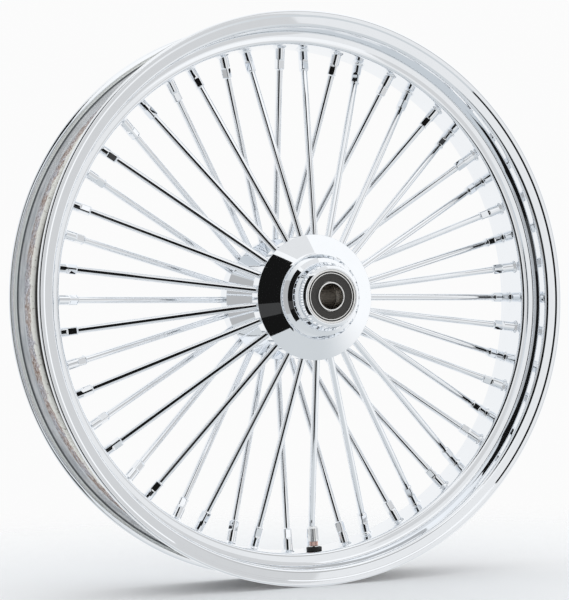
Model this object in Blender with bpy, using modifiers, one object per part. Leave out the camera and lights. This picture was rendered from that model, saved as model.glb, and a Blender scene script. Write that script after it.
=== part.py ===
"""Spoked motorcycle wheel, 21 x 3.5 inch, with fifty straight fat spokes.

The wheel's axle lies along Y and its centre is the origin.  The front side, which is the
side seen from -Y, carries 25 spokes; the rear side carries the other 25, half a step
further round.  Front spokes run to the rear row of holes in the rim and rear spokes to the
front row, so the two sets cross.  Everything is in metres.
"""
import math

import bpy
from mathutils import Matrix, Vector

MM = 0.001
GAP = 0.3 * MM                      # clearance between touching solids
FRONT = -1                          # sign of Y on each side of the wheel
REAR = 1
WORDS = {FRONT: "front", REAR: "rear"}

# Spokes
SPOKES_PER_SIDE = 25
SPOKE_STEP = 2.0 * math.pi / SPOKES_PER_SIDE
SPOKE_RADIUS = 3.5 * MM
SPOKE_SIDES = 8
SPOKE_FOOT_HEIGHT = 53.6 * MM       # radius at which a spoke ends inside the hub flange
SPOKE_HUB_OFFSET = 38.5 * MM        # distance of a spoke from the mid-plane ...
SPOKE_HUB_HEIGHT = 61.0 * MM        # ... at this radius
SPOKE_RIM_OFFSET = 6.3 * MM         # and on the other side of the mid-plane ...
SPOKE_RIM_HEIGHT = 248.0 * MM       # ... at this radius
HOLE_CLEARANCE = 0.35 * MM          # round a spoke or a nipple in its hole

# Nipples
NIPPLE_RADIUS = 5.0 * MM
NIPPLE_START_HEIGHT = 229.0 * MM
NIPPLE_HEAD_RADIUS = 6.6 * MM
NIPPLE_HEAD_END_RADIUS = 5.0 * MM
NIPPLE_HEAD_START = 257.2 * MM
NIPPLE_HEAD_END = 260.2 * MM

# Rim: one formed sheet, drop centre, flanges curled outwards
RIM_SEGMENTS = 100
SHEET = 2.8 * MM
LIP_RADIUS = 281.5 * MM
LIP_OFFSET = 50.4 * MM
LIP_BACK_OFFSET = 47.6 * MM
LIP_ROUNDING = 1.0 * MM
FLANGE_OFFSET = 44.45 * MM          # half the width between the flanges, 3.5 inch in all
FLANGE_TOP_RADIUS = 277.0 * MM
FLANGE_FOOT_RADIUS = 270.7 * MM
BEAD_SEAT_RADIUS = 267.5 * MM
BEAD_SEAT_LOW_RADIUS = 266.3 * MM   # the seat slopes down towards the well
SEAT_END_OFFSET = 41.0 * MM
SEAT_END_UNDERSIDE = 43.3 * MM
WELL_TOP_OFFSET = 19.6 * MM
WELL_TOP_UNDERSIDE = 22.2 * MM
WELL_CORNER_RADIUS = 255.2 * MM
WELL_CORNER_OFFSET = 19.0 * MM
WELL_RADIUS = 252.0 * MM            # face of the well that looks at the hub
WELL_HALF_WIDTH = 13.2 * MM
WELL_FLOOR_HALF_WIDTH = 15.6 * MM

# Pressed collar of the rim round each nipple
COLLAR_TOP_RADIUS = 6.9 * MM
COLLAR_FOOT_RADIUS = 7.8 * MM
COLLAR_HEIGHT = 3.6 * MM
COLLAR_ROOT = 0.7 * MM              # how far it reaches into the sheet
COLLAR_CENTRE_HEIGHT = 250.0 * MM   # it is centred on the spoke's axis at this radius
COLLAR_SIDES = 12
HOLE_BELOW_WELL = 8.0 * MM
HOLE_ABOVE_WELL = 9.0 * MM

# Hub
HUB_SEGMENTS = 50
FLANGE_RADIUS = 61.7 * MM
FLANGE_OUTER = 46.0 * MM
FLANGE_OUTER_CHAMFER = 0.8 * MM
FLANGE_INNER = 32.5 * MM
FLANGE_INNER_CHAMFER = 1.0 * MM
BARREL_RADIUS = 31.0 * MM
BARREL_HALF = 5.0 * MM
CONE_FOOT_RADIUS = 43.6 * MM
CONE_FOOT = 56.8 * MM
NECK = (                            # (radius, distance from the mid-plane) of its corners
    (41.6 * MM, 57.2 * MM),
    (41.6 * MM, 60.4 * MM),
    (38.0 * MM, 64.7 * MM),
    (33.6 * MM, 67.1 * MM),
    (33.3 * MM, 71.4 * MM),
    (31.0 * MM, 75.0 * MM),
    (30.8 * MM, 79.4 * MM),
    (29.2 * MM, 82.3 * MM),
    (27.4 * MM, 83.5 * MM),
)
HUB_BORE_RADIUS = 19.5 * MM
HOLE_PAST_FLANGE = 6.0 * MM

# Bearings: 25 x 52 x 15 mm, sealed on both sides
BEARING_SEGMENTS = 32
BEARING_BORE_RADIUS = 12.5 * MM
BEARING_OUTER_RADIUS = 26.0 * MM
BEARING_WIDTH = 15.0 * MM
BEARING_FACE = 83.3 * MM
INNER_RACE_RADIUS = 15.55 * MM
INNER_RACE_END_RADIUS = 14.2 * MM
INNER_RACE_STEP = 2.3 * MM
OUTER_RACE_INNER_RADIUS = 23.5 * MM
SEAL_LIP_RADIUS = 14.6 * MM
SEAL_RECESS = 0.6 * MM
SEAL_THICKNESS = 1.0 * MM
BALLS = 9
BALL_PITCH_RADIUS = 19.52 * MM
BALL_RADIUS = 3.6 * MM
BALL_RINGS = 4
BALL_SIDES = 8
CAGE_HALF_WIDTH = 1.4 * MM
CAGE_HALF_HEIGHT = 0.9 * MM

# Axle spacer between the two inner races
SPACER_INNER_RADIUS = 12.7 * MM
SPACER_OUTER_RADIUS = 15.2 * MM

# Valve, in the front half of the well
VALVE_ANGLE = math.radians(272.8)
VALVE_OFFSET = -8.9 * MM
VALVE_SIDES = 16
VALVE_SEAT_GAP = 0.6 * MM           # the well curves up to the flat grommet
VALVE_HOLE_RADIUS = 4.5 * MM
VALVE_HOLE_ABOVE = 5.0 * MM
VALVE_HOLE_BELOW = 10.0 * MM
VALVE_STEM_RADIUS = 4.1 * MM
VALVE_GROMMET_RADIUS = 7.8 * MM
VALVE_GROMMET_HEIGHT = 4.6 * MM
VALVE_NUT_RADIUS = 4.7 * MM
VALVE_NUT_HEIGHT = 6.6 * MM
VALVE_CAP_RADIUS = 5.2 * MM
VALVE_CAP_HEIGHT = 13.6 * MM
VALVE_CAP_END_RADIUS = 3.7 * MM
VALVE_CAP_SHOULDER = 3.0 * MM
VALVE_HEAD_RADIUS = 5.6 * MM
VALVE_HEAD_HEIGHT = 3.0 * MM

AXLE_FROM_Z = Matrix.Rotation(-math.pi / 2.0, 4, "X")    # turns local +Z onto world +Y
MERGE_DISTANCE = 0.01 * MM


def clear_scene():
    for item in list(bpy.data.objects):
        bpy.data.objects.remove(item, do_unlink=True)


def collection(name):
    group = bpy.data.collections.new(name)
    bpy.context.scene.collection.children.link(group)
    return group


def material(name, colour, metallic, roughness):
    shade = bpy.data.materials.new(name)
    shade.use_nodes = True
    shader = shade.node_tree.nodes["Principled BSDF"]
    shader.inputs["Base Color"].default_value = (*colour, 1.0)
    shader.inputs["Metallic"].default_value = metallic
    shader.inputs["Roughness"].default_value = roughness
    shade.diffuse_color = (*colour, 1.0)
    return shade


def grown(radius, segments):
    """Corner radius of a regular polygon whose flats lie on the given radius."""
    return radius / math.cos(math.pi / segments)


def ring_outline(outer, inner):
    """Closed outline of a ring that is the same at both ends.

    outer and inner list (radius, height) points of each side from the middle to one end.
    """
    down = list(reversed(outer)) + [(radius, -height) for radius, height in outer]
    up = [(radius, -height) for radius, height in reversed(inner)] + inner
    return down + up


def outline_mesh(name, outline, shade=None, turn=0.0):
    """Edges of an outline in the local XZ plane, turned about Z; a ring's outline is closed."""
    mesh = bpy.data.meshes.new(name)
    count = len(outline)
    edges = [(index, index + 1) for index in range(count - 1)]
    if outline[0][0] > 0.0:
        edges.append((count - 1, 0))
    swing = Matrix.Rotation(turn, 3, "Z")
    points = [swing @ Vector((radius, 0.0, height)) for radius, height in outline]
    mesh.from_pydata(points, edges, [])
    if shade is not None:
        mesh.materials.append(shade)
    return mesh


def spun(name, mesh, segments, group):
    """Solid of revolution about local Z from an outline mesh."""
    item = bpy.data.objects.new(name, mesh)
    group.objects.link(item)
    screw = item.modifiers.new("turn", "SCREW")
    screw.axis = "Z"
    screw.angle = 2.0 * math.pi
    screw.steps = segments
    screw.render_steps = segments
    screw.use_merge_vertices = True
    screw.merge_threshold = MERGE_DISTANCE
    screw.use_smooth_shade = True
    return item


def boolean(item, operation, operands):
    """Joins every object of a collection to item, or cuts them out of it."""
    step = item.modifiers.new(operation.lower(), "BOOLEAN")
    step.operation = operation
    step.solver = "EXACT"
    step.operand_type = "COLLECTION"
    step.collection = operands


def tool(name, outline, sides, group, placed):
    """Turned solid that only shapes another one."""
    item = spun(name, outline_mesh(name, outline), sides, group)
    item.matrix_world = placed
    item.hide_render = True
    item.display_type = "WIRE"


def frame_along(along, origin):
    """World frame at origin whose +Z runs along a direction that isn't the axle's."""
    across = Vector((0.0, 1.0, 0.0)).cross(along).normalized()
    frame = Matrix((across, along.cross(across), along)).transposed().to_4x4()
    frame.translation = origin
    return frame


def outward(angle):
    return Vector((math.cos(angle), 0.0, math.sin(angle)))


def spoke_offset(height, side):
    """Y of a spoke's axis at a radius of the wheel."""
    share = (height - SPOKE_HUB_HEIGHT) / (SPOKE_RIM_HEIGHT - SPOKE_HUB_HEIGHT)
    return side * (SPOKE_HUB_OFFSET - share * (SPOKE_HUB_OFFSET + SPOKE_RIM_OFFSET))


def spoke_stretch():
    """Length along a spoke for each metre of the wheel's radius."""
    run = SPOKE_RIM_HEIGHT - SPOKE_HUB_HEIGHT
    return math.hypot(run, SPOKE_HUB_OFFSET + SPOKE_RIM_OFFSET) / run


def along_spoke(outline):
    """Outline with its wheel radii turned into distances along a spoke."""
    return [(radius, height * spoke_stretch()) for radius, height in outline]


def spoke_frame(angle, side):
    """World frame of a spoke, with its origin where the spoke's line would meet the axle line."""
    foot = Vector((0.0, spoke_offset(0.0, side), 0.0))
    head = outward(angle) * SPOKE_RIM_HEIGHT
    head.y = spoke_offset(SPOKE_RIM_HEIGHT, side)
    return frame_along((head - foot).normalized(), foot)


def spoke_angles(side):
    """Angles of one side's spokes, counter-clockwise from +X seen from the front."""
    start = 0.0 if side == FRONT else SPOKE_STEP / 2.0
    return [start + SPOKE_STEP * index for index in range(SPOKES_PER_SIDE)]


def well_frame(angle, offset):
    """World frame on the face of the well, whose +Z runs towards the axle."""
    origin = outward(angle) * WELL_RADIUS + Vector((0.0, offset, 0.0))
    return frame_along(-outward(angle), origin)


def spokes(side, group, shade):
    """One side's spokes with their threaded nipples; they all share one mesh."""
    outline = [(0.0, NIPPLE_HEAD_END),
               (NIPPLE_HEAD_END_RADIUS, NIPPLE_HEAD_END),
               (NIPPLE_HEAD_RADIUS, NIPPLE_HEAD_START),
               (NIPPLE_RADIUS, NIPPLE_HEAD_START),
               (NIPPLE_RADIUS, NIPPLE_START_HEIGHT),
               (SPOKE_RADIUS, NIPPLE_START_HEIGHT),
               (SPOKE_RADIUS, SPOKE_FOOT_HEIGHT),
               (0.0, SPOKE_FOOT_HEIGHT)]
    word = WORDS[side]
    mesh = outline_mesh(f"spoke_{word}", along_spoke(outline), shade)
    for index, angle in enumerate(spoke_angles(side)):
        item = spun(f"spoke_{word}_{index + 1:02d}", mesh, SPOKE_SIDES, group)
        item.matrix_world = spoke_frame(angle, side)


def spoke_holes(word, radius, bottom, top):
    """Round cutters along every spoke, from one radius of the wheel to another."""
    group = collection(f"{word}_holes")
    outline = along_spoke([(0.0, top), (radius, top), (radius, bottom), (0.0, bottom)])
    for side in (FRONT, REAR):
        for index, angle in enumerate(spoke_angles(side)):
            name = f"{word}_hole_{WORDS[side]}_{index}"
            tool(name, outline, SPOKE_SIDES, group, spoke_frame(angle, side))
    return group


def collars():
    """Pressed collars that the nipples pass through, on the face of the well."""
    group = collection("collars")
    outline = [(0.0, COLLAR_HEIGHT), (COLLAR_TOP_RADIUS, COLLAR_HEIGHT),
               (COLLAR_FOOT_RADIUS, -COLLAR_ROOT), (0.0, -COLLAR_ROOT)]
    for side in (FRONT, REAR):
        offset = spoke_offset(COLLAR_CENTRE_HEIGHT, side)
        for index, angle in enumerate(spoke_angles(side)):
            name = f"collar_{WORDS[side]}_{index}"
            tool(name, outline, COLLAR_SIDES, group, well_frame(angle, offset))
    return group


def rim(group, shade):
    lip = grown(LIP_RADIUS, RIM_SEGMENTS)
    tyre_side = [(WELL_RADIUS + SHEET, WELL_FLOOR_HALF_WIDTH),
                 (BEAD_SEAT_LOW_RADIUS, WELL_TOP_OFFSET),
                 (BEAD_SEAT_RADIUS, SEAT_END_OFFSET),
                 (FLANGE_FOOT_RADIUS, FLANGE_OFFSET),
                 (FLANGE_TOP_RADIUS, FLANGE_OFFSET),
                 (lip, LIP_BACK_OFFSET)]
    hub_side = [(WELL_RADIUS, WELL_HALF_WIDTH),
                (WELL_CORNER_RADIUS, WELL_CORNER_OFFSET),
                (BEAD_SEAT_RADIUS - SHEET, WELL_TOP_UNDERSIDE),
                (BEAD_SEAT_RADIUS - SHEET, SEAT_END_UNDERSIDE),
                (FLANGE_FOOT_RADIUS, FLANGE_OFFSET + SHEET),
                (FLANGE_TOP_RADIUS, LIP_OFFSET - LIP_ROUNDING),
                (lip - LIP_ROUNDING, LIP_OFFSET)]
    outline = ring_outline(tyre_side, hub_side)
    mesh = outline_mesh("rim", outline, shade, math.pi / RIM_SEGMENTS)
    item = spun("rim", mesh, RIM_SEGMENTS, group)
    item.matrix_world = AXLE_FROM_Z
    boolean(item, "UNION", collars())
    holes = spoke_holes("rim", NIPPLE_RADIUS + HOLE_CLEARANCE,
                        WELL_RADIUS - HOLE_BELOW_WELL, WELL_RADIUS + HOLE_ABOVE_WELL)
    valve_hole = [(0.0, VALVE_HOLE_ABOVE), (VALVE_HOLE_RADIUS, VALVE_HOLE_ABOVE),
                  (VALVE_HOLE_RADIUS, -VALVE_HOLE_BELOW), (0.0, -VALVE_HOLE_BELOW)]
    tool("valve_hole", valve_hole, VALVE_SIDES, holes, well_frame(VALVE_ANGLE, VALVE_OFFSET))
    boolean(item, "DIFFERENCE", holes)


def hub(group, shade):
    outer = [(BARREL_RADIUS, BARREL_HALF),
             (FLANGE_RADIUS - FLANGE_INNER_CHAMFER, FLANGE_INNER),
             (FLANGE_RADIUS, FLANGE_INNER + FLANGE_INNER_CHAMFER),
             (FLANGE_RADIUS, FLANGE_OUTER - FLANGE_OUTER_CHAMFER),
             (FLANGE_RADIUS - FLANGE_OUTER_CHAMFER, FLANGE_OUTER),
             (CONE_FOOT_RADIUS, CONE_FOOT)]
    outer.extend(NECK)
    pocket_radius = grown(BEARING_OUTER_RADIUS + GAP, HUB_SEGMENTS)
    pocket_floor = BEARING_FACE - BEARING_WIDTH - GAP
    bore = [(HUB_BORE_RADIUS, pocket_floor),
            (pocket_radius, pocket_floor),
            (pocket_radius, NECK[-1][1])]
    mesh = outline_mesh("hub_shell", ring_outline(outer, bore), shade, math.pi / HUB_SEGMENTS)
    item = spun("hub_shell", mesh, HUB_SEGMENTS, group)
    item.matrix_world = AXLE_FROM_Z
    boolean(item, "DIFFERENCE", spoke_holes("hub", SPOKE_RADIUS + HOLE_CLEARANCE,
                                            SPOKE_FOOT_HEIGHT - GAP,
                                            FLANGE_RADIUS + HOLE_PAST_FLANGE))


def ring(name, outer, inner, segments, placed, group, shade):
    """Turned ring that is the same at both ends, at its place on the axle line."""
    mesh = outline_mesh(name, ring_outline(outer, inner), shade)
    item = spun(name, mesh, segments, group)
    item.matrix_world = placed
    return item


def bearing(side, group, shade):
    """Inner race, sealed outer race and caged balls of one bearing."""
    name = f"bearing_{WORDS[side]}"
    half = BEARING_WIDTH / 2.0
    placed = Matrix.Translation((0.0, side * (BEARING_FACE - half), 0.0)) @ AXLE_FROM_Z

    step = half - INNER_RACE_STEP
    inner_race = [(INNER_RACE_RADIUS, step), (INNER_RACE_END_RADIUS, step),
                  (INNER_RACE_END_RADIUS, half)]
    ring(f"{name}_inner_race", inner_race, [(BEARING_BORE_RADIUS, half)],
         BEARING_SEGMENTS, placed, group, shade)

    seal_out = half - SEAL_RECESS
    seal_in = seal_out - SEAL_THICKNESS
    sealed_side = [(OUTER_RACE_INNER_RADIUS, seal_in), (SEAL_LIP_RADIUS, seal_in),
                   (SEAL_LIP_RADIUS, seal_out), (OUTER_RACE_INNER_RADIUS, seal_out),
                   (OUTER_RACE_INNER_RADIUS, half)]
    ring(f"{name}_outer_race", [(BEARING_OUTER_RADIUS, half)], sealed_side,
         BEARING_SEGMENTS, placed, group, shade)

    cage = ring(f"{name}_ball_cage", [(BALL_PITCH_RADIUS + CAGE_HALF_HEIGHT, CAGE_HALF_WIDTH)],
                [(BALL_PITCH_RADIUS - CAGE_HALF_HEIGHT, CAGE_HALF_WIDTH)],
                3 * BALLS, placed, group, shade)
    boolean(cage, "UNION", balls(name, placed))


def balls(name, placed):
    """The balls of one bearing, which its cage is joined to."""
    group = collection(f"{name}_balls")
    turns = [math.pi * step / BALL_RINGS for step in range(BALL_RINGS + 1)]
    arc = [(BALL_RADIUS * math.sin(turn), BALL_RADIUS * math.cos(turn)) for turn in turns]
    arc[-1] = (0.0, -BALL_RADIUS)
    for index in range(BALLS):
        angle = 2.0 * math.pi * index / BALLS
        spot = Vector((math.cos(angle), math.sin(angle), 0.0)) * BALL_PITCH_RADIUS
        tool(f"{name}_ball_{index}", arc, BALL_SIDES, group, placed @ Matrix.Translation(spot))
    return group


def axle_spacer(group, shade):
    end = BEARING_FACE - BEARING_WIDTH - GAP
    ring("axle_spacer", [(SPACER_OUTER_RADIUS, end)], [(SPACER_INNER_RADIUS, end)],
         BEARING_SEGMENTS, AXLE_FROM_Z, group, shade)


def valve(group, shade):
    """Valve with its grommet, nut, cap and the head on the tyre side, one body."""
    nut_top = VALVE_GROMMET_HEIGHT + VALVE_NUT_HEIGHT
    cap_top = nut_top + VALVE_CAP_HEIGHT
    neck_end = -SHEET - VALVE_SEAT_GAP
    outline = [(0.0, cap_top),
               (VALVE_CAP_END_RADIUS, cap_top),
               (VALVE_CAP_RADIUS, cap_top - VALVE_CAP_SHOULDER),
               (VALVE_CAP_RADIUS, nut_top),
               (VALVE_NUT_RADIUS, nut_top),
               (VALVE_NUT_RADIUS, VALVE_GROMMET_HEIGHT),
               (VALVE_GROMMET_RADIUS, VALVE_GROMMET_HEIGHT),
               (VALVE_GROMMET_RADIUS, VALVE_SEAT_GAP),
               (VALVE_STEM_RADIUS, VALVE_SEAT_GAP),
               (VALVE_STEM_RADIUS, neck_end),
               (VALVE_HEAD_RADIUS, neck_end),
               (VALVE_HEAD_RADIUS, neck_end - VALVE_HEAD_HEIGHT),
               (0.0, neck_end - VALVE_HEAD_HEIGHT)]
    item = spun("valve", outline_mesh("valve", outline, shade), VALVE_SIDES, group)
    item.matrix_world = well_frame(VALVE_ANGLE, VALVE_OFFSET)


def main():
    clear_scene()
    wheel = collection("spoked_wheel")
    rim_chrome = material("rim_chrome", (0.86, 0.87, 0.88), 1.0, 0.05)
    hub_chrome = material("hub_chrome", (0.84, 0.85, 0.87), 1.0, 0.06)
    spoke_chrome = material("spoke_chrome", (0.88, 0.88, 0.89), 1.0, 0.06)
    steel = material("bearing_steel", (0.62, 0.62, 0.63), 1.0, 0.2)
    rubber = material("valve_rubber", (0.02, 0.02, 0.02), 0.0, 0.6)

    rim(wheel, rim_chrome)
    hub(wheel, hub_chrome)
    for side in (FRONT, REAR):
        spokes(side, wheel, spoke_chrome)
        bearing(side, wheel, steel)
    axle_spacer(wheel, steel)
    valve(wheel, rubber)


main()
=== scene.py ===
"""Spoked motorcycle wheel: fine visible pieces, materials, light and camera.

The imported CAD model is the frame.  Sizes and places below come from its nodes' boxes; the
small constants are details finer than the CAD.  Everything is in metres.  The axle lies
along Y, the front side faces -Y, and a profile is a list of (radius, y, fillet) corners.
"""
import math

import bmesh
import bpy
import numpy as np
from mathutils import Matrix, Vector


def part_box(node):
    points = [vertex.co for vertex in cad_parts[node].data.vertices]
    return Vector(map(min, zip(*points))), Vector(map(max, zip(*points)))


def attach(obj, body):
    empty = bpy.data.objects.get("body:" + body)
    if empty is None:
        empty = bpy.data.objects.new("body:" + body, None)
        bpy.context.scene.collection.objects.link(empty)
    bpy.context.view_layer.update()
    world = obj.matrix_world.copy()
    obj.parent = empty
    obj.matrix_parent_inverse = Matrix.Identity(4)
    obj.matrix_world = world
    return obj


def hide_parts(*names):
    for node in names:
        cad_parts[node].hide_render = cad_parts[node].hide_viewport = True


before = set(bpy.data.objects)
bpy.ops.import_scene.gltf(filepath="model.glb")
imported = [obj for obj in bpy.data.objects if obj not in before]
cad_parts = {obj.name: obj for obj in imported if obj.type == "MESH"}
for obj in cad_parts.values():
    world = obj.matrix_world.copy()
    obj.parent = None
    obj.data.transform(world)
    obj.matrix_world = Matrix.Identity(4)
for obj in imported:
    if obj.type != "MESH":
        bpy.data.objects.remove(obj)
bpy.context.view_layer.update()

MM = 0.001
BLACK = (0.0, 0.0, 0.0)
WHITE = (1.0, 1.0, 1.0)
FRONT = -1                          # sign of Y on each side of the wheel
REAR = 1
WORDS = {FRONT: "front", REAR: "rear"}
SHARP_EDGE = math.radians(28.0)
PIN_SHARP_EDGE = math.radians(40.0)
FILLET_TURN = math.radians(9.0)     # most that a fillet turns between two of its points
LEAST_BEND = 0.4 * MM
SPOKES_PER_SIDE = 25
SPOKE_STEP = 2.0 * math.pi / SPOKES_PER_SIDE

# Camera: place on a sphere round the wheel's centre in degrees and metres, small turns away
# from facing that centre, and lens in mm
CAMERA_AZIMUTH = -24.768
CAMERA_ELEVATION = -1.137
CAMERA_DISTANCE = 1.87677
CAMERA_YAW = math.radians(0.332)
CAMERA_PITCH = math.radians(0.040)
CAMERA_ROLL = math.radians(-0.925)
CAMERA_LENS = 112.51

# Driving dimensions, from the CAD nodes
LIP_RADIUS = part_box("rim")[1].x
LIP_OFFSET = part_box("rim")[1].y
FLANGE_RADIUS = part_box("hub_shell")[1].x
NOSE_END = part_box("hub_shell")[1].y
BEARING_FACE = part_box("bearing_rear_outer_race")[1].y
BEARING_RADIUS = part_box("bearing_rear_outer_race")[1].x
BEARING_WIDTH = BEARING_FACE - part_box("bearing_rear_outer_race")[0].y
FLOOR_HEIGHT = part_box("rim")[0].z

# Spokes and nipples; heights are distances from the axle line
SPOKE_RADIUS = 3.5 * MM
SPOKE_HUB_HEIGHT = 61.0 * MM
SPOKE_HUB_OFFSET = 38.5 * MM        # distance from the mid-plane at the hub
SPOKE_RIM_HEIGHT = 248.0 * MM
SPOKE_RIM_OFFSET = 6.3 * MM         # and at the rim, past the mid-plane on the other side
SPOKE_START = 56.0 * MM
SPOKE_IN_NIPPLE = 4.0 * MM          # how far the shaft reaches into its nipple
SPOKE_SIDES = 40
NIPPLE_START = 229.0 * MM
NIPPLE_RADIUS = 4.95 * MM
NIPPLE_FLAT = 4.05 * MM             # half the width across the wrench flats
NIPPLE_CHAMFER = 1.1 * MM
NIPPLE_FLAT_START = 1.5 * MM
NIPPLE_FLAT_END = 9.2 * MM
NIPPLE_SCALLOP = 3.2 * MM           # radius of the cutter that leaves each flat's round end
NIPPLE_LENGTH = 32.0 * MM
NIPPLE_HEAD_START = 27.6 * MM       # the head sits on the tyre side of the well
NIPPLE_HEAD_RADIUS = 6.4 * MM
NIPPLE_HEAD_ROUNDING = 0.45         # share of its area that the head loses towards its top
NIPPLE_FINE_END = 14.0 * MM         # flats and scallops end before this height
NIPPLE_FINE_STEP = 0.35 * MM
NIPPLE_HEAD_RINGS = 9
NIPPLE_HEAD_STEP = 0.01 * MM        # height of the step under the head
NIPPLE_SIDES = 64
FIRST_NIPPLE_TURN = math.radians(45.0)
NIPPLE_TURN = math.radians(38.0)    # each nipple stops at its own turn of the thread

# Rim: a sheet with a drop-centre well between two bead seats
SHEET = 2.8 * MM
WELL_HALF_WIDTH = 20.6 * MM
WELL_BEND = 5.6 * MM
BEAD_SEAT_RADIUS = LIP_RADIUS - 14.0 * MM
WELL_RADIUS = LIP_RADIUS - 29.5 * MM
FLANGE_EDGE = 7.4 * MM              # width of the pale rolled edge inside each flange
SEAT_START = 24.6 * MM              # distances from the mid-plane at which the finish changes
FLANGE_START = 41.0 * MM
RAGGED_REACH = 13.0 * MM            # how far the worn edge of the seat wanders at most
LIP_BAND = 3.8 * MM                 # the chromed part of the tyre side, next to the rolled lip
TYRE_SIDE_TILT = 0.25               # least share of a normal that counts as facing the tyre
RIM_STEPS = 420

# Collar pressed up from the well round each nipple: a flat top, a flare and a sunk root
COLLAR_INNER = 5.0 * MM
COLLAR_TOP = 5.2 * MM
COLLAR_EDGE = 6.3 * MM              # radius at which the flare starts ...
COLLAR_WAIST = 1.6 * MM             # ... and its height there
COLLAR_FLARE = 2.2                  # power of the flare's curve
COLLAR_SKIRT = 0.02 * MM            # height of the flare's foot above the well
COLLAR_FOOT = 8.6 * MM
COLLAR_ROOT = 0.6 * MM
COLLAR_HEIGHT = 2.6 * MM
COLLAR_INNER_DROP = 0.3 * MM
COLLAR_RINGS = 6
COLLAR_SIDES = 36

# Hub and bearings
HUB_BORE = 19.5 * MM
POCKET_CLEARANCE = 0.05 * MM
HUB_STEPS = 250
OUTER_RACE_BORE = 24.1 * MM
INNER_RACE_RADIUS = 15.5 * MM
INNER_RACE_NOSE = 14.0 * MM         # the inner race is thinner where a seal rides over it
INNER_RACE_BORE = 12.5 * MM
INNER_RACE_SHOULDER = 2.7 * MM      # depth of that thinner part
CLIP_RADIUS = 22.9 * MM
CLIP_BORE = 22.0 * MM
CLIP_DEPTH = 1.5 * MM
CLIP_SETBACK = 0.2 * MM
SEAL_RADIUS = 24.05 * MM
SEAL_FACE_RADIUS = 21.95 * MM
SEAL_BORE = 14.5 * MM
SEAL_SETBACK = 0.5 * MM
SEAL_STEP = 1.6 * MM                # depth at which the seal widens to sit in the race
SEAL_BACK = 0.8 * MM
SEAL_GROOVE = 0.3 * MM              # the sunk band in the seal's face ...
SEAL_GROOVE_INNER = 15.6 * MM       # ... from here ...
SEAL_GROOVE_OUTER = 21.2 * MM       # ... to here
SEAL_GROOVE_SLOPE = 0.6 * MM
BEARING_STEPS = 128

# Valve
VALVE_BORE_EDGE = 3.0 * MM          # only what lies outside this radius is fluted
VALVE_STEPS = 120

# Studio: strengths of the tent's light, azimuth and elevation in degrees, lengths in metres
TENT_LOW = 0.72
TENT_KEY = 1.06
TENT_REAR = 0.97
TENT_SEEN = 0.968                   # what the camera sees behind the wheel
KEY_DIRECTION = (75.0, 42.0)
FLOOR_REACH = 1.6
FLOOR_SOLID = 0.12                  # the floor starts to fade at this distance ...
FLOOR_CLEAR = 0.9                   # ... and is gone at this one
FLOOR_RINGS = 24
FLOOR_SIDES = 96
FLOOR_GAP = 0.2 * MM
CARD_DISTANCE = 1.2
CARD_RINGS = 6
CARD_STEPS = 8                      # points along each side of a card


# Mesh tools

def fillet(corners, closed):
    """Points of an outline whose (radius, y, fillet) corners are rounded to arcs."""
    points = []
    count = len(corners)
    for index, (radius, y, rounding) in enumerate(corners):
        corner = Vector((radius, y))
        if rounding == 0.0 or (not closed and index in (0, count - 1)):
            points.append(corner)
            continue
        before = Vector(corners[index - 1][:2]) - corner
        after = Vector(corners[(index + 1) % count][:2]) - corner
        opening = before.angle(after)
        reach = rounding / math.tan(opening / 2.0)
        reach = min(reach, 0.49 * before.length, 0.49 * after.length)
        size = reach * math.tan(opening / 2.0)
        middle = (before.normalized() + after.normalized()).normalized()
        centre = corner + middle * math.hypot(reach, size)
        start = corner + before.normalized() * reach - centre
        end = corner + after.normalized() * reach - centre
        turn = start.angle_signed(end)
        steps = max(2, math.ceil(abs(turn) / FILLET_TURN))
        for step in range(steps + 1):
            swing = -turn * step / steps
            points.append(centre + Matrix.Rotation(swing, 2) @ start)
    return points


def link(name, mesh):
    """Object in the scene that shows a mesh, or other data such as a camera."""
    item = bpy.data.objects.new(name, mesh)
    bpy.context.scene.collection.objects.link(item)
    return item


def add_object(name, verts, faces, shade):
    """Object with its normals outwards, smooth except at sharp edges."""
    mesh = bpy.data.meshes.new(name)
    mesh.from_pydata([tuple(v) for v in verts], [], faces)
    shape = bmesh.new()
    shape.from_mesh(mesh)
    bmesh.ops.recalc_face_normals(shape, faces=shape.faces)
    shape.to_mesh(mesh)
    shape.free()
    mesh.shade_smooth()
    mesh.set_sharp_from_angle(angle=SHARP_EDGE)
    mesh.materials.append(shade)
    return link(name, mesh)


def loop_faces(steps, count):
    """Faces between copies of a closed outline of count points, stood round a full turn."""
    faces = []
    for step in range(steps):
        here = step * count
        there = (step + 1) % steps * count
        for index in range(count):
            after = (index + 1) % count
            faces.append((here + index, here + after, there + after, there + index))
    return faces


def disc_faces(sides, rings):
    """Faces of a disc: a middle point, then rings of points further and further out."""
    faces = [(0, 1 + step, 1 + (step + 1) % sides) for step in range(sides)]
    for ring in range(rings - 1):
        here = 1 + ring * sides
        there = here + sides
        for step in range(sides):
            after = (step + 1) % sides
            faces.append((here + step, there + step, there + after, here + after))
    return faces


def lathe(outline, steps):
    """Vertices and faces of an outline turned about the Y axis; the outline is closed."""
    angles = np.arange(steps) * 2.0 * math.pi / steps
    radii = np.array([point[0] for point in outline])
    heights = np.array([point[1] for point in outline])
    count = len(outline)
    verts = np.empty((steps, count, 3))
    verts[:, :, 0] = np.cos(angles)[:, None] * radii
    verts[:, :, 1] = heights
    verts[:, :, 2] = np.sin(angles)[:, None] * radii
    return verts.reshape(-1, 3), loop_faces(steps, count)


def mirrored_outline(outer, inner):
    """Closed outline from its two sides, each listed from the middle to the rear end."""
    front_outer = [(radius, -y, rounding) for radius, y, rounding in outer]
    front_inner = [(radius, -y, rounding) for radius, y, rounding in reversed(inner)]
    return list(reversed(outer)) + front_outer + front_inner + list(inner)


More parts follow.
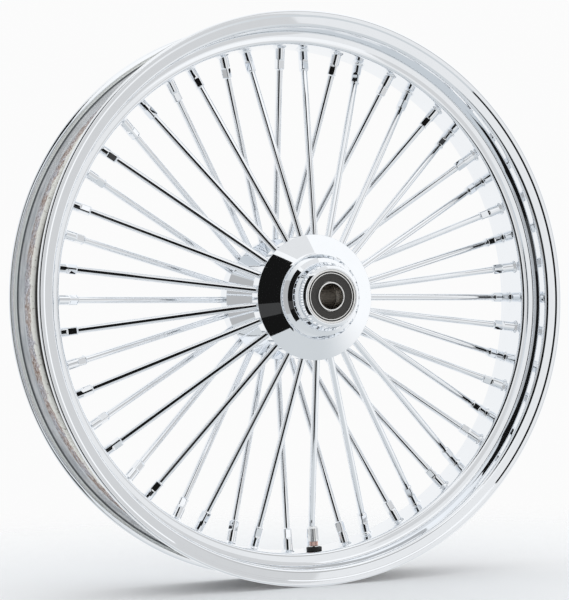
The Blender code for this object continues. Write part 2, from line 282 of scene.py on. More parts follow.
def turned_piece(name, corners, steps, shade):
    """Object turned about the Y axis from a closed outline of corners."""
    verts, faces = lathe(fillet(corners, True), steps)
    return add_object(name, verts, faces, shade)


def mounted(piece, body, slot, *nodes):
    """Lets a piece ride on its body and stand for CAD nodes; slot is not used."""
    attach(piece, body)
    if nodes:
        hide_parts(*nodes)
    return piece


# Places

def outward(angle):
    """Direction away from the axle line at an angle, counter-clockwise from +X."""
    return Vector((math.cos(angle), 0.0, math.sin(angle)))


def spoke_angles(side):
    """Angles of one side's spokes; the rear set is half a step further round."""
    start = 0.0 if side == FRONT else SPOKE_STEP / 2.0
    return [start + SPOKE_STEP * index for index in range(SPOKES_PER_SIDE)]


def spoke_offset(height, side):
    """Place of a spoke's centre line across the wheel, at a height from the axle line."""
    share = (height - SPOKE_HUB_HEIGHT) / (SPOKE_RIM_HEIGHT - SPOKE_HUB_HEIGHT)
    return side * (SPOKE_HUB_OFFSET - share * (SPOKE_HUB_OFFSET + SPOKE_RIM_OFFSET))


def spoke_point(angle, side, height):
    """Point on a spoke's centre line."""
    point = outward(angle) * height
    point.y = spoke_offset(height, side)
    return point


def frame_along(along, origin):
    """World frame with its local Z along a direction."""
    across = Vector((0.0, 1.0, 0.0)).cross(along).normalized()
    placed = Matrix((across, along.cross(across), along)).transposed().to_4x4()
    placed.translation = origin
    return placed


# Materials

def node_material(name, colour, metallic, roughness):
    """Material with its node tree and its shader, ready for more nodes."""
    shade = bpy.data.materials.new(name)
    shade.use_nodes = True
    tree = shade.node_tree
    shader = tree.nodes["Principled BSDF"]
    shader.inputs["Base Color"].default_value = (*colour, 1.0)
    shader.inputs["Metallic"].default_value = metallic
    shader.inputs["Roughness"].default_value = roughness
    return shade, tree, shader


def noise(tree, scale, detail=4.0, roughness=0.55):
    """Noise fixed to the piece."""
    place = tree.nodes.new("ShaderNodeTexCoord")
    texture = tree.nodes.new("ShaderNodeTexNoise")
    texture.inputs["Scale"].default_value = scale
    texture.inputs["Detail"].default_value = detail
    texture.inputs["Roughness"].default_value = roughness
    tree.links.new(place.outputs["Object"], texture.inputs["Vector"])
    return texture


def ramp(tree, source, stops):
    """Colour ramp over a value; stops are (position, colour)."""
    node = tree.nodes.new("ShaderNodeValToRGB")
    elements = node.color_ramp.elements
    while len(elements) < len(stops):
        elements.new(0.5)
    for element, (position, colour) in zip(elements, stops):
        element.position = position
        element.color = (*colour, 1.0)
    tree.links.new(source, node.inputs["Fac"])
    return node


def scaled(tree, source, low, high):
    """Value from 0..1 spread over low..high."""
    node = tree.nodes.new("ShaderNodeMapRange")
    node.inputs["To Min"].default_value = low
    node.inputs["To Max"].default_value = high
    tree.links.new(source, node.inputs["Value"])
    return node


def bump(tree, shader, source, strength, distance):
    """Fine relief from a value."""
    node = tree.nodes.new("ShaderNodeBump")
    node.inputs["Strength"].default_value = strength
    node.inputs["Distance"].default_value = distance
    tree.links.new(source, node.inputs["Height"])
    tree.links.new(node.outputs["Normal"], shader.inputs["Normal"])


def chrome(name, colour=(0.895, 0.92, 0.95), low=0.015, high=0.045):
    """Mirror chrome with a faint haze and slight plating unevenness."""
    shade, tree, shader = node_material(name, colour, 1.0, low)
    haze = noise(tree, 60.0)
    tint = ramp(tree, haze.outputs["Fac"],
                [(0.3, colour), (0.7, tuple(0.985 * part for part in colour))])
    tree.links.new(tint.outputs["Color"], shader.inputs["Base Color"])
    rough = scaled(tree, haze.outputs["Fac"], low, high)
    tree.links.new(rough.outputs["Result"], shader.inputs["Roughness"])
    return shade


def stretched_noise(tree, scale, stretch):
    """Noise drawn out along the rim: stretch squeezes it across the rim's width."""
    place = tree.nodes.new("ShaderNodeTexCoord")
    squeeze = tree.nodes.new("ShaderNodeMapping")
    squeeze.inputs["Scale"].default_value = (1.0, stretch, 1.0)
    texture = tree.nodes.new("ShaderNodeTexNoise")
    texture.inputs["Scale"].default_value = scale
    texture.inputs["Detail"].default_value = 5.0
    texture.inputs["Roughness"].default_value = 0.6
    tree.links.new(place.outputs["Object"], squeeze.inputs["Vector"])
    tree.links.new(squeeze.outputs["Vector"], texture.inputs["Vector"])
    return texture


def across_rim(tree):
    """Distance from the wheel's mid-plane, in metres."""
    place = tree.nodes.new("ShaderNodeTexCoord")
    parts = tree.nodes.new("ShaderNodeSeparateXYZ")
    distance = tree.nodes.new("ShaderNodeMath")
    distance.operation = "ABSOLUTE"
    tree.links.new(place.outputs["Object"], parts.inputs["Vector"])
    tree.links.new(parts.outputs["Y"], distance.inputs[0])
    return distance.outputs["Value"]


def blended(tree, share, first, second):
    """First colour where share is 0, second where it is 1."""
    node = tree.nodes.new("ShaderNodeMix")
    node.data_type = "RGBA"
    tree.links.new(share, node.inputs["Factor"])
    tree.links.new(first, node.inputs[6])
    tree.links.new(second, node.inputs[7])
    return node.outputs[2]


def step_between(tree, value, start, end, low=0.0, high=1.0):
    """Smooth step from low at start to high at end."""
    node = tree.nodes.new("ShaderNodeMapRange")
    node.interpolation_type = "SMOOTHSTEP"
    node.inputs["From Min"].default_value = start
    node.inputs["From Max"].default_value = end
    node.inputs["To Min"].default_value = low
    node.inputs["To Max"].default_value = high
    tree.links.new(value, node.inputs["Value"])
    return node.outputs["Result"]


def maths(tree, operation, first, second):
    """Result of one operation, such as ADD, on two values."""
    node = tree.nodes.new("ShaderNodeMath")
    node.operation = operation
    tree.links.new(first, node.inputs[0])
    tree.links.new(second, node.inputs[1])
    return node.outputs["Value"]


def from_axle(tree):
    """Distance from the axle line, in metres."""
    place = tree.nodes.new("ShaderNodeTexCoord")
    flatten = tree.nodes.new("ShaderNodeVectorMath")
    flatten.operation = "MULTIPLY"
    flatten.inputs[1].default_value = (1.0, 0.0, 1.0)
    length = tree.nodes.new("ShaderNodeVectorMath")
    length.operation = "LENGTH"
    tree.links.new(place.outputs["Object"], flatten.inputs[0])
    tree.links.new(flatten.outputs["Vector"], length.inputs[0])
    return length.outputs["Value"]


def solid(tree, colour):
    """One plain colour."""
    node = tree.nodes.new("ShaderNodeRGB")
    node.outputs["Color"].default_value = (*colour, 1.0)
    return node.outputs["Color"]


def flange_colour(tree, plating, height):
    """Dull flange with streaks, a dark line of painted shade in the crease where it is rolled
    over, and a pale edge.
    """
    edge = LIP_RADIUS - FLANGE_EDGE
    dull = ramp(tree, plating, [(0.34, (0.50, 0.53, 0.56)), (0.62, (0.80, 0.82, 0.84))])
    # Painted shade: a near-black line along the crease where the flange is rolled over
    crease_shade = step_between(tree, height, edge - 2.2 * MM, edge - 0.8 * MM)
    crease_shaded = blended(tree, crease_shade, dull.outputs["Color"], solid(tree, (0.10, 0.11, 0.12)))
    pale = step_between(tree, height, edge, edge + 0.5 * MM)
    return blended(tree, pale, crease_shaded, solid(tree, (0.86, 0.90, 0.89)))


def seat_colour(tree, grain):
    """Grainy bead seat, grey with brown patches."""
    grey = ramp(tree, grain, [(0.40, (0.30, 0.29, 0.31)), (0.5, (0.56, 0.55, 0.60)),
                              (0.6, (0.84, 0.84, 0.88))])
    brown = ramp(tree, grain, [(0.40, (0.24, 0.13, 0.08)), (0.5, (0.52, 0.42, 0.38)),
                               (0.6, (0.78, 0.74, 0.72))])
    patches = noise(tree, 34.0, 8.0, 0.75)
    rusty = ramp(tree, patches.outputs["Fac"], [(0.44, BLACK), (0.54, WHITE)])
    return blended(tree, rusty.outputs["Color"], grey.outputs["Color"], brown.outputs["Color"])


def well_colour(tree, grain, plating, height):
    """Pale speckled walls of the well, and painted shade that darkens its floor, deep in the
    well.
    """
    wall = ramp(tree, grain, [(0.34, (0.16, 0.13, 0.10)), (0.40, (0.84, 0.83, 0.78)),
                              (0.7, (0.92, 0.92, 0.88))])
    # Painted shade: the floor deep in the well is darkened almost to black, as in shadow
    dark = ramp(tree, plating, [(0.3, (0.035, 0.032, 0.03)), (0.7, (0.07, 0.065, 0.06))])
    deep_well_shade = step_between(tree, height, BEAD_SEAT_RADIUS - 2.6 * MM, BEAD_SEAT_RADIUS - 4.2 * MM)
    return blended(tree, deep_well_shade, wall.outputs["Color"], dark.outputs["Color"])


def tyre_side_material():
    """Unpolished side that the tyre hides: flanges, bead seats with ragged edges, and well."""
    shade, tree, shader = node_material("rim_tyre_side", (0.6, 0.61, 0.63), 1.0, 0.3)
    plating = stretched_noise(tree, 30.0, 40.0).outputs["Fac"]
    grain = noise(tree, 330.0, 6.0, 0.7).outputs["Fac"]
    torn = noise(tree, 110.0, 8.0, 0.75)
    ragged = scaled(tree, torn.outputs["Fac"], -RAGGED_REACH, RAGGED_REACH)
    height = from_axle(tree)
    across = across_rim(tree)
    uneven = maths(tree, "ADD", across, ragged.outputs["Result"])
    on_seat = step_between(tree, uneven, SEAT_START, SEAT_START + 0.6 * MM)
    on_flange = step_between(tree, across, FLANGE_START, FLANGE_START + 2.0 * MM)
    colour = blended(tree, on_seat, well_colour(tree, grain, plating, height),
                     seat_colour(tree, grain))
    colour = blended(tree, on_flange, colour, flange_colour(tree, plating, height))
    tree.links.new(colour, shader.inputs["Base Color"])
    rough = scaled(tree, on_flange, 0.55, 0.5)
    tree.links.new(rough.outputs["Result"], shader.inputs["Roughness"])
    plated = scaled(tree, on_flange, 0.25, 0.12)
    tree.links.new(plated.outputs["Result"], shader.inputs["Metallic"])
    bump(tree, shader, grain, 0.2, 0.3 * MM)
    return shade


tyre_side = tyre_side_material()
chrome_hub = chrome("hub_chrome")
chrome_spoke = chrome("spoke_chrome")
chrome_nipple = chrome("nipple_chrome")
chrome_rim = chrome("rim_chrome")


# Rim

def parallel(corners, gap):
    """Corners of the outline that lies a gap away on the left, its bends eased to match."""
    shifted = []
    for index, (radius, y, rounding) in enumerate(corners):
        here = Vector((radius, y))
        before = Vector(corners[max(index - 1, 0)][:2])
        after = Vector(corners[min(index + 1, len(corners) - 1)][:2])
        way_in = (here - before).normalized() if index > 0 else (after - here).normalized()
        way_out = (after - here).normalized() if index < len(corners) - 1 else way_in
        left_in = Vector((-way_in.y, way_in.x))
        left_out = Vector((-way_out.y, way_out.x))
        middle = (left_in + left_out).normalized()
        corner = here + middle * gap / middle.dot(left_in)
        turn = way_in.x * way_out.y - way_in.y * way_out.x
        bend = rounding - gap if turn > 0.0 else rounding + gap
        shifted.append((corner.x, corner.y, max(bend, LEAST_BEND) if rounding else 0.0))
    return shifted


def rim_corners():
    """Rolled sheet: drop-centre well, bead seat and flange, ending in a thick round lip."""
    hub_side = [(WELL_RADIUS, 0.0, 0.0),
                (WELL_RADIUS, WELL_HALF_WIDTH, WELL_BEND),
                (WELL_RADIUS + 7.9 * MM, WELL_HALF_WIDTH + 0.7 * MM, 12.0 * MM),
                (BEAD_SEAT_RADIUS - SHEET, WELL_HALF_WIDTH + 2.0 * MM, 1.8 * MM),
                (BEAD_SEAT_RADIUS - SHEET, LIP_OFFSET - 4.8 * MM, 5.2 * MM),
                (LIP_RADIUS - 6.6 * MM, LIP_OFFSET - 2.4 * MM, 1.2 * MM)]
    outside = parallel(hub_side, -SHEET)
    lip = [(LIP_RADIUS - 5.0 * MM, LIP_OFFSET - 1.35 * MM, 1.2 * MM),
           (LIP_RADIUS, LIP_OFFSET - 0.05 * MM, 2.0 * MM),
           (LIP_RADIUS, LIP_OFFSET - 5.2 * MM, 1.6 * MM),
           (LIP_RADIUS - 4.6 * MM, LIP_OFFSET - 5.6 * MM, 1.2 * MM)]
    return mirrored_outline(outside[1:], hub_side[1:] + lip)


def well_surface(y):
    """Radius of the well's hub side at a place across the rim."""
    bend_width = 0.9 * WELL_BEND
    past = max(0.0, min(abs(y) - (WELL_HALF_WIDTH - bend_width), bend_width))
    return WELL_RADIUS + WELL_BEND - math.sqrt(WELL_BEND ** 2 - past ** 2)


def collar(angle, side):
    """Closed ring: the flared collar pressed up from the well round one nipple."""
    tilt = (SPOKE_HUB_OFFSET + SPOKE_RIM_OFFSET) / (SPOKE_RIM_HEIGHT - SPOKE_HUB_HEIGHT)
    middle = spoke_offset(WELL_RADIUS, side)
    outline = [(COLLAR_TOP, COLLAR_HEIGHT)]
    for ring in range(COLLAR_RINGS + 1):
        share = ring / COLLAR_RINGS
        outline.append((COLLAR_EDGE + (COLLAR_FOOT - COLLAR_EDGE) * share,
                        COLLAR_WAIST * (1.0 - share) ** COLLAR_FLARE + COLLAR_SKIRT))
    outline += [(COLLAR_FOOT, -COLLAR_ROOT), (COLLAR_INNER, -COLLAR_ROOT),
                (COLLAR_INNER, COLLAR_HEIGHT - COLLAR_INNER_DROP)]
    verts = []
    for step in range(COLLAR_SIDES):
        around = 2.0 * math.pi * step / COLLAR_SIDES
        for reach, rise in outline:
            swing = angle + reach * math.cos(around) / WELL_RADIUS
            y = middle + reach * math.sin(around) + side * rise * tilt
            point = outward(swing) * (well_surface(y) - rise)
            verts.append((point.x, y, point.z))
    return verts, loop_faces(COLLAR_SIDES, len(outline))


def show_tyre_side(piece, shell_faces):
    """Gives the unpolished finish to the shell's faces that look outwards, at the tyre."""
    piece.data.materials.append(tyre_side)
    for face in piece.data.polygons[:shell_faces]:
        out = Vector((face.center.x, 0.0, face.center.z))
        radial = face.normal.dot(out.normalized())
        inward = -face.normal.y * math.copysign(1.0, face.center.y)
        on_lip = out.length > LIP_RADIUS - LIP_BAND
        if max(radial, inward) > TYRE_SIDE_TILT and not on_lip:
            face.material_index = 1


def make_rim():
    """The rolled sheet and its fifty collars, as one piece."""
    verts, faces = lathe(fillet(rim_corners(), True), RIM_STEPS)
    verts = list(map(tuple, verts))
    shell_faces = len(faces)
    for side in (FRONT, REAR):
        for angle in spoke_angles(side):
            more, quads = collar(angle, side)
            start = len(verts)
            verts += more
            faces += [tuple(start + index for index in quad) for quad in quads]
    piece = add_object("rim_shell", verts, faces, chrome_rim)
    show_tyre_side(piece, shell_faces)
    mounted(piece, "wheel", "rim_chrome", "rim")


make_rim()


# Hub

def hub_corners():
    """Waist, coned flange and stepped neck outside; bore and bearing pocket inside."""
    pocket = BEARING_RADIUS + POCKET_CLEARANCE
    floor = BEARING_FACE - BEARING_WIDTH
    outer = [(31.0 * MM, 5.0 * MM, 7.0 * MM),
             (FLANGE_RADIUS - 0.4 * MM, 32.4 * MM, 0.5 * MM),
             (FLANGE_RADIUS, 33.4 * MM, 0.4 * MM),
             (FLANGE_RADIUS, 46.4 * MM, 0.5 * MM),
             (43.6 * MM, 56.1 * MM, 0.4 * MM),
             (41.8 * MM, 56.9 * MM, 0.3 * MM),
             (41.5 * MM, 60.4 * MM, 3.2 * MM),
             (37.9 * MM, 64.7 * MM, 0.25 * MM),
             (33.6 * MM, 67.1 * MM, 0.4 * MM),
             (33.3 * MM, 71.2 * MM, 2.6 * MM),
             (31.0 * MM, 74.6 * MM, 0.3 * MM),
             (30.8 * MM, 78.6 * MM, 2.0 * MM),
             (29.7 * MM, 82.0 * MM, 0.2 * MM),
             (27.3 * MM, NOSE_END, 0.3 * MM)]
    inner = [(HUB_BORE, floor, 0.5 * MM),
             (pocket, floor, 0.3 * MM),
             (pocket, NOSE_END, 0.3 * MM)]
    return mirrored_outline(outer, inner)


def make_hub():
    """One turned shell."""
    piece = turned_piece("hub_body", hub_corners(), HUB_STEPS, chrome_hub)
    mounted(piece, "wheel", "hub_chrome", "hub_shell")


make_hub()


# Spokes

def pin_mesh(name, radius_at, heights, sides, shade):
    """Closed pin along local Z, with its surface at radius_at(height, angle)."""
    verts = []
    for height in heights:
        for step in range(sides):
            around = 2.0 * math.pi * step / sides
            reach = radius_at(height, around)
            verts.append((reach * math.cos(around), reach * math.sin(around), height))
    faces = []
    for ring in range(len(heights) - 1):
        for step in range(sides):
            after = (step + 1) % sides
            here = ring * sides
            there = here + sides
            faces.append((here + step, here + after, there + after, there + step))
    faces.append(tuple(reversed(range(sides))))
    faces.append(tuple(range((len(heights) - 1) * sides, len(heights) * sides)))
    mesh = bpy.data.meshes.new(name)
    mesh.from_pydata(verts, [], faces)
    mesh.shade_smooth()
    mesh.set_sharp_from_angle(angle=PIN_SHARP_EDGE)
    mesh.materials.append(shade)
    return mesh


def nipple_radius(height, around):
    """Round nipple with four wrench flats that run out in round scallops, and a domed head."""
    reach = NIPPLE_RADIUS
    if height < NIPPLE_CHAMFER:
        reach = NIPPLE_RADIUS - (NIPPLE_CHAMFER - height)
    if height > NIPPLE_HEAD_START:
        dome = (height - NIPPLE_HEAD_START) / (NIPPLE_LENGTH - NIPPLE_HEAD_START)
        return NIPPLE_HEAD_RADIUS * math.sqrt(1.0 - NIPPLE_HEAD_ROUNDING * dome ** 3)
    if height < NIPPLE_FLAT_START:
        return reach
    if height < NIPPLE_FLAT_END:
        flat = NIPPLE_FLAT
    else:
        past = height - NIPPLE_FLAT_END
        if past >= NIPPLE_SCALLOP:
            return reach
        flat = NIPPLE_FLAT + NIPPLE_SCALLOP - math.sqrt(NIPPLE_SCALLOP ** 2 - past ** 2)
    quarter = math.pi / 2.0
    off = (around + quarter / 2.0) % quarter - quarter / 2.0
    return min(reach, flat / math.cos(off))


def shaft_mesh():
    """Plain round shaft, from inside the hub flange to inside the nipple."""
    rise = SPOKE_RIM_HEIGHT - SPOKE_HUB_HEIGHT
    stretch = math.hypot(rise, SPOKE_HUB_OFFSET + SPOKE_RIM_OFFSET)
    stretch /= rise
    length = (NIPPLE_START + SPOKE_IN_NIPPLE - SPOKE_START) * stretch
    return pin_mesh("spoke_shaft", lambda height, around: SPOKE_RADIUS,
                    [0.0, length], SPOKE_SIDES, chrome_spoke)


def nipple_mesh():
    """Nipple with close rings over its flats and its head, and none on its plain part."""
    heights = list(np.arange(0.0, NIPPLE_FINE_END, NIPPLE_FINE_STEP))
    head = list(np.linspace(NIPPLE_HEAD_START, NIPPLE_LENGTH, NIPPLE_HEAD_RINGS))
    heights += [head[0], head[0] + NIPPLE_HEAD_STEP] + head[1:]
    return pin_mesh("nipple", nipple_radius, heights, NIPPLE_SIDES, chrome_nipple)


def make_spokes():
    """Fifty shafts and fifty nipples, which share two meshes."""
    shaft = shaft_mesh()
    nipple = nipple_mesh()
    for side in (FRONT, REAR):
        for index, angle in enumerate(spoke_angles(side)):
            node = f"spoke_{WORDS[side]}_{index + 1:02d}"
            start = spoke_point(angle, side, SPOKE_START)
            head = spoke_point(angle, side, SPOKE_RIM_HEIGHT)
            along = (head - start).normalized()
            piece = link(f"{node}_shaft", shaft)
            piece.matrix_world = frame_along(along, start)
            mounted(piece, "wheel", "spoke_chrome", node)
            seat = spoke_point(angle, side, NIPPLE_START)
            twist = Matrix.Rotation(FIRST_NIPPLE_TURN + NIPPLE_TURN * index, 4, "Z")
            piece = link(f"{node}_nipple", nipple)
            piece.matrix_world = frame_along(along, seat) @ twist
            mounted(piece, "wheel", "spoke_chrome", node)


make_spokes()


# Bearings

def rubber_material(name, colour, scale):
    """Moulded rubber with a fine grain."""
    shade, tree, shader = node_material(name, colour, 0.0, 0.55)
    shader.inputs["Specular IOR Level"].default_value = 0.3
    grain = noise(tree, scale, 6.0)
    light = tuple(1.5 * part for part in colour)
    tone = ramp(tree, grain.outputs["Fac"], [(0.35, colour), (0.7, light)])
    tree.links.new(tone.outputs["Color"], shader.inputs["Base Color"])
    rough = scaled(tree, grain.outputs["Fac"], 0.45, 0.65)
    tree.links.new(rough.outputs["Result"], shader.inputs["Roughness"])
    bump(tree, shader, grain.outputs["Fac"], 0.15, 0.2 * MM)
    return shade


def turned_metal(name, colour, low, high):
    """Turned or ground metal: fine rings round local Y and a slightly uneven sheen."""
    shade, tree, shader = node_material(name, colour, 1.0, low)
    rings = tree.nodes.new("ShaderNodeTexNoise")
    rings.noise_dimensions = "1D"
    rings.inputs["Scale"].default_value = 9000.0
    tree.links.new(from_axle(tree), rings.inputs["W"])
    cloud = noise(tree, 220.0)
    dark = tuple(0.86 * part for part in colour)
    tone = ramp(tree, cloud.outputs["Fac"], [(0.3, dark), (0.7, colour)])
    tree.links.new(tone.outputs["Color"], shader.inputs["Base Color"])
    rough = scaled(tree, rings.outputs["Fac"], low, high)
    tree.links.new(rough.outputs["Result"], shader.inputs["Roughness"])
    bump(tree, shader, rings.outputs["Fac"], 0.08, 0.1 * MM)
    return shade


steel = turned_metal("race_steel", (0.90, 0.90, 0.89), 0.1, 0.22)
ball_steel = turned_metal("ball_steel", (0.66, 0.66, 0.67), 0.1, 0.2)
spacer_steel = turned_metal("spacer_steel", (0.46, 0.43, 0.39), 0.3, 0.45)
rubber = rubber_material("seal_rubber", (0.036, 0.034, 0.032), 900.0)
valve_rubber = rubber_material("valve_rubber", (0.016, 0.016, 0.015), 700.0)


def outer_race(side, face, back):
    """Ring pressed into the hub, between the bearing's two end planes."""
    corners = [(BEARING_RADIUS, face, 0.4 * MM), (BEARING_RADIUS, back, 0.4 * MM),
               (OUTER_RACE_BORE, back, 0.3 * MM), (OUTER_RACE_BORE, face, 0.3 * MM)]
    piece = turned_piece(f"bearing_{WORDS[side]}_race", corners, BEARING_STEPS, steel)
    mounted(piece, "wheel", "bearing_steel", f"bearing_{WORDS[side]}_outer_race")


def seal_and_clip(side, name, end, inwards):
    """Rubber seal and the bright ring that holds it, at one end of a bearing."""
    clip_near = end + inwards * CLIP_SETBACK
    clip_far = end + inwards * CLIP_DEPTH
    clip = [(CLIP_RADIUS, clip_far, 0.0), (CLIP_BORE, clip_far, 0.0),
            (CLIP_BORE, clip_near, 0.2 * MM), (CLIP_RADIUS, clip_near, 0.3 * MM)]
    near = end + inwards * SEAL_SETBACK
    step = end + inwards * SEAL_STEP
    far = step + inwards * SEAL_BACK
    sunk = near + inwards * SEAL_GROOVE
    seal = [(SEAL_FACE_RADIUS, near, 0.2 * MM),
            (SEAL_FACE_RADIUS, step, 0.0),
            (SEAL_RADIUS, step, 0.0),
            (SEAL_RADIUS, far, 0.0),
            (SEAL_BORE, far, 0.2 * MM),
            (SEAL_BORE, near, 0.3 * MM),
            (SEAL_GROOVE_INNER, near, 0.2 * MM),
            (SEAL_GROOVE_INNER + SEAL_GROOVE_SLOPE, sunk, 0.2 * MM),
            (SEAL_GROOVE_OUTER - SEAL_GROOVE_SLOPE, sunk, 0.2 * MM),
            (SEAL_GROOVE_OUTER, near, 0.2 * MM)]
    word = WORDS[side]
    node = f"bearing_{word}_outer_race"
    piece = turned_piece(f"bearing_{word}_{name}_clip", clip, BEARING_STEPS, steel)
    mounted(piece, "wheel", "bearing_steel", node)
    piece = turned_piece(f"bearing_{word}_{name}_seal", seal, BEARING_STEPS, rubber)
    mounted(piece, "wheel", "seal_rubber", node)


def inner_race(side, face, back):
    """Ring on the axle, thinner at both ends where the seals run."""
    near = face - side * INNER_RACE_SHOULDER
    far = back + side * INNER_RACE_SHOULDER
    corners = [(INNER_RACE_NOSE, face, 0.4 * MM), (INNER_RACE_NOSE, near, 0.1 * MM),
               (INNER_RACE_RADIUS, near, 0.1 * MM), (INNER_RACE_RADIUS, far, 0.1 * MM),
               (INNER_RACE_NOSE, far, 0.1 * MM), (INNER_RACE_NOSE, back, 0.4 * MM),
               (INNER_RACE_BORE, back, 0.4 * MM), (INNER_RACE_BORE, face, 0.5 * MM)]
    piece = turned_piece(f"bearing_{WORDS[side]}_inner_ring", corners, BEARING_STEPS, steel)
    mounted(piece, "axle_set", "bearing_steel", f"bearing_{WORDS[side]}_inner_race")


def make_bearing(side):
    """Both races and the two seals; the CAD's balls and cage show between them."""
    face = side * BEARING_FACE
    back = side * (BEARING_FACE - BEARING_WIDTH)
    outer_race(side, face, back)
    seal_and_clip(side, "outer", face, -side)
    seal_and_clip(side, "inner", back, side)
    inner_race(side, face, back)


for wheel_side in (FRONT, REAR):
    make_bearing(wheel_side)
    ball_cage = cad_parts[f"bearing_{WORDS[wheel_side]}_ball_cage"]
    ball_cage.material_slots[0].material = ball_steel
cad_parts["axle_spacer"].material_slots[0].material = spacer_steel


# Valve

def fluted(name, corners, flutes, depth, shade):
    """Turned piece about local Z whose side is cut by shallow flutes."""
    outline = fillet(corners, False)
    verts = []
    for step in range(VALVE_STEPS):
        around = 2.0 * math.pi * step / VALVE_STEPS
        wave = depth * (0.5 - 0.5 * math.cos(flutes * around))
        for radius, height in outline:
            reach = radius - wave if radius > VALVE_BORE_EDGE else radius
            verts.append((reach * math.cos(around), reach * math.sin(around), height))
    count = len(outline)
    faces = []
    for step in range(VALVE_STEPS):
        here = step * count
        there = (step + 1) % VALVE_STEPS * count
        for index in range(count - 1):
            faces.append((here + index, here + index + 1, there + index + 1, there + index))
    faces.append(tuple(step * count for step in range(VALVE_STEPS)))
    faces.append(tuple(step * count + count - 1 for step in range(VALVE_STEPS)))
    return add_object(name, verts, faces, shade)


def valve_parts():
    """Name, (radius, height, fillet) corners in mm, flutes, their depth in mm, looks and slot."""
    grommet = [(3.2, 0.1, 0), (7.6, 0.1, 0.5), (7.8, 3.6, 0.6), (5.6, 4.2, 0.5), (3.2, 4.2, 0)]
    washer = [(2.6, 4.3, 0), (5.6, 4.3, 0.3), (5.4, 5.3, 0.3), (2.6, 5.3, 0)]
    nut = [(2.6, 5.4, 0), (4.2, 5.4, 0.3), (4.2, 9.6, 0.4), (2.6, 9.6, 0)]
    cap = [(2.6, 9.7, 0), (5.0, 9.7, 0.3), (5.2, 11.6, 0.5), (4.9, 22.4, 1.2), (3.2, 24.6, 0.8),
           (0.6, 24.6, 0)]
    return [("valve_grommet", grommet, 1, 0.0, valve_rubber, "valve_rubber"),
            ("valve_washer", washer, 1, 0.0, cap_chrome, "valve_cap"),
            ("valve_nut", nut, 24, 0.28, copper, "valve_copper"),
            ("valve_cap", cap, 20, 0.22, cap_chrome, "valve_cap")]


def make_valve():
    """Valve that stands on the hub side of the well and points at the axle."""
    low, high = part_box("valve")
    angle = math.atan2(-WELL_RADIUS, (low.x + high.x) / 2.0)
    seat = outward(angle) * WELL_RADIUS
    seat.y = (low.y + high.y) / 2.0
    placed = frame_along(-outward(angle), seat)
    for name, corners, flutes, depth, shade, slot in valve_parts():
        corners = [tuple(value * MM for value in corner) for corner in corners]
        piece = fluted(name, corners, flutes, depth * MM, shade)
        piece.matrix_world = placed
        mounted(piece, "wheel", slot, "valve")


copper = turned_metal("valve_copper", (0.80, 0.56, 0.50), 0.12, 0.26)
cap_chrome = chrome("valve_cap_chrome", (0.86, 0.87, 0.88), 0.05, 0.12)
make_valve()


# Stage

def sky_point(azimuth, elevation, distance):
    """Point seen from the wheel's centre; azimuth 0 is straight out of the front side."""
    turn = math.radians(azimuth)
    rise = math.radians(elevation)
    level = math.cos(rise)
    return Vector((math.sin(turn) * level, -math.cos(turn) * level, math.sin(rise))) * distance


def nearness(tree, direction, toward):
    """1 for directions that agree with a given one, falling to -1 for the opposite."""
    dot = tree.nodes.new("ShaderNodeVectorMath")
    dot.operation = "DOT_PRODUCT"
    dot.inputs[1].default_value = toward
    tree.links.new(direction, dot.inputs[0])
    return dot.outputs["Value"]


def make_world():
    """White tent: brightest above on the right and behind, a little grey in front."""
    world = bpy.data.worlds.new("white_tent")
    bpy.context.scene.world = world
    world.use_nodes = True
    tree = world.node_tree
    glow = tree.nodes["Background"]
    direction = tree.nodes.new("ShaderNodeTexCoord").outputs["Generated"]
    right = nearness(tree, direction, sky_point(*KEY_DIRECTION, 1.0))
    rear = nearness(tree, direction, (0.0, 1.0, 0.0))
    light = maths(tree, "MAXIMUM", step_between(tree, right, -0.1, 0.62, TENT_LOW, TENT_KEY),
                  step_between(tree, rear, -0.2, 0.5, TENT_LOW, TENT_REAR))
    tint = ramp(tree, light, [(TENT_LOW, (0.945, 0.98, 1.0)), (0.96, WHITE)])
    rays = tree.nodes.new("ShaderNodeLightPath")
    seen = tree.nodes.new("ShaderNodeMix")
    seen.data_type = "FLOAT"
    seen.inputs[3].default_value = TENT_SEEN
    tree.links.new(rays.outputs["Is Camera Ray"], seen.inputs[0])
    tree.links.new(light, seen.inputs[2])
    tree.links.new(seen.outputs[0], glow.inputs["Strength"])
    tree.links.new(tint.outputs["Color"], glow.inputs["Color"])


make_world()


def floor_material():
    """Pale paper that fades out to nothing away from the wheel."""
    shade, tree, shader = node_material("floor_paper", (0.92, 0.94, 0.96), 0.0, 0.9)
    clear = tree.nodes.new("ShaderNodeBsdfTransparent")
    mix = tree.nodes.new("ShaderNodeMixShader")
    spot = tree.nodes.new("ShaderNodeTexCoord")
    distance = tree.nodes.new("ShaderNodeVectorMath")
    distance.operation = "LENGTH"
    tree.links.new(spot.outputs["Object"], distance.inputs[0])
    fade = step_between(tree, distance.outputs["Value"], FLOOR_SOLID, FLOOR_CLEAR)
    tree.links.new(fade, mix.inputs["Fac"])
    tree.links.new(shader.outputs["BSDF"], mix.inputs[1])
    tree.links.new(clear.outputs["BSDF"], mix.inputs[2])
    tree.links.new(mix.outputs["Shader"], tree.nodes["Material Output"].inputs["Surface"])
    return shade


def make_floor():
    """Round floor just under the rim."""
    verts = [(0.0, 0.0, 0.0)]
    for ring in range(1, FLOOR_RINGS + 1):
        for step in range(FLOOR_SIDES):
            around = 2.0 * math.pi * step / FLOOR_SIDES
            reach = FLOOR_REACH * ring / FLOOR_RINGS
            verts.append((reach * math.cos(around), reach * math.sin(around), 0.0))
    faces = disc_faces(FLOOR_SIDES, FLOOR_RINGS)
    floor = add_object("floor", verts, faces, floor_material())
    floor.location = (0.0, 0.0, FLOOR_HEIGHT - FLOOR_GAP)
    floor.visible_glossy = False


make_floor()


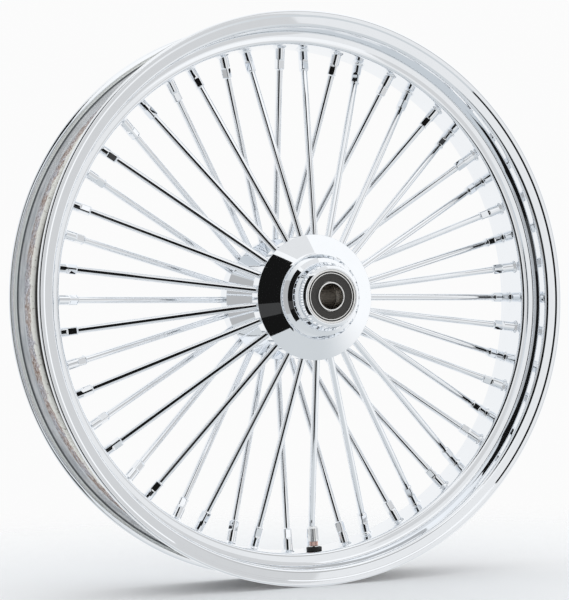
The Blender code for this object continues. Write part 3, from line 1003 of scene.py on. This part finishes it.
def emission(name, level):
    """Even glow of one grey level."""
    shade = bpy.data.materials.new(name)
    shade.use_nodes = True
    tree = shade.node_tree
    tree.nodes.remove(tree.nodes["Principled BSDF"])
    glow = tree.nodes.new("ShaderNodeEmission")
    glow.inputs["Color"].default_value = (level, level, level, 1.0)
    tree.links.new(glow.outputs["Emission"], tree.nodes["Material Output"].inputs["Surface"])
    return shade


def card_outline(azimuths, elevations):
    """Points round a card, close enough together for it to bend with the sphere."""
    corners = [(azimuths[0], elevations[0]), (azimuths[1], elevations[0]),
               (azimuths[1], elevations[1]), (azimuths[0], elevations[1])]
    points = []
    for index, (azimuth, elevation) in enumerate(corners):
        after = corners[(index + 1) % len(corners)]
        for step in range(CARD_STEPS):
            share = step / CARD_STEPS
            points.append((azimuth + (after[0] - azimuth) * share,
                           elevation + (after[1] - elevation) * share))
    return points


def card(name, azimuths, elevations, level, distance=CARD_DISTANCE):
    """Card between two azimuths and two elevations in degrees, seen only in reflections."""
    outline = card_outline(azimuths, elevations)
    middle = [sum(values) / len(outline) for values in zip(*outline)]
    verts = [sky_point(*middle, distance)]
    for ring in range(1, CARD_RINGS + 1):
        for azimuth, elevation in outline:
            share = ring / CARD_RINGS
            verts.append(sky_point(middle[0] + (azimuth - middle[0]) * share,
                                   middle[1] + (elevation - middle[1]) * share, distance))
    faces = disc_faces(len(outline), CARD_RINGS)
    piece = add_object(name, verts, faces, emission(name, level))
    piece.visible_camera = False
    piece.visible_diffuse = False
    piece.visible_shadow = False


card("flag_front", (-50, -1), (-36, 30), 0.008)
card("flag_front_high", (-50, -11), (30, 43), 0.008)
card("flag_grey", (-46, -24), (-18, -5), 0.055, 1.15)
card("gap_left", (-84, -52), (-32, 34), 0.50)
card("gap_right", (26, 62), (-16, 36), 0.70)
card("gap_right_high", (12, 40), (12, 36), 0.52, 1.15)
card("light_front", (7, 26), (-28, 8), 0.88, 1.18)
card("gap_above", (-22, 32), (47, 74), 0.84)


def make_camera():
    """Camera at the photo's angle."""
    back = sky_point(CAMERA_AZIMUTH, CAMERA_ELEVATION, 1.0)
    right = Vector((0.0, 0.0, 1.0)).cross(back).normalized()
    up = back.cross(right)
    facing = Matrix((right, up, back)).transposed().to_4x4()
    turn = (Matrix.Rotation(CAMERA_YAW, 4, "Y") @ Matrix.Rotation(-CAMERA_PITCH, 4, "X")
            @ Matrix.Rotation(CAMERA_ROLL, 4, "Z"))
    data = bpy.data.cameras.new("camera")
    data.lens = CAMERA_LENS
    data.clip_start = 0.05
    data.clip_end = 50.0
    camera = link("camera", data)
    camera.matrix_world = Matrix.Translation(back * CAMERA_DISTANCE) @ facing @ turn
    bpy.context.scene.camera = camera


make_camera()
bpy.context.scene.view_settings.view_transform = "Standard"
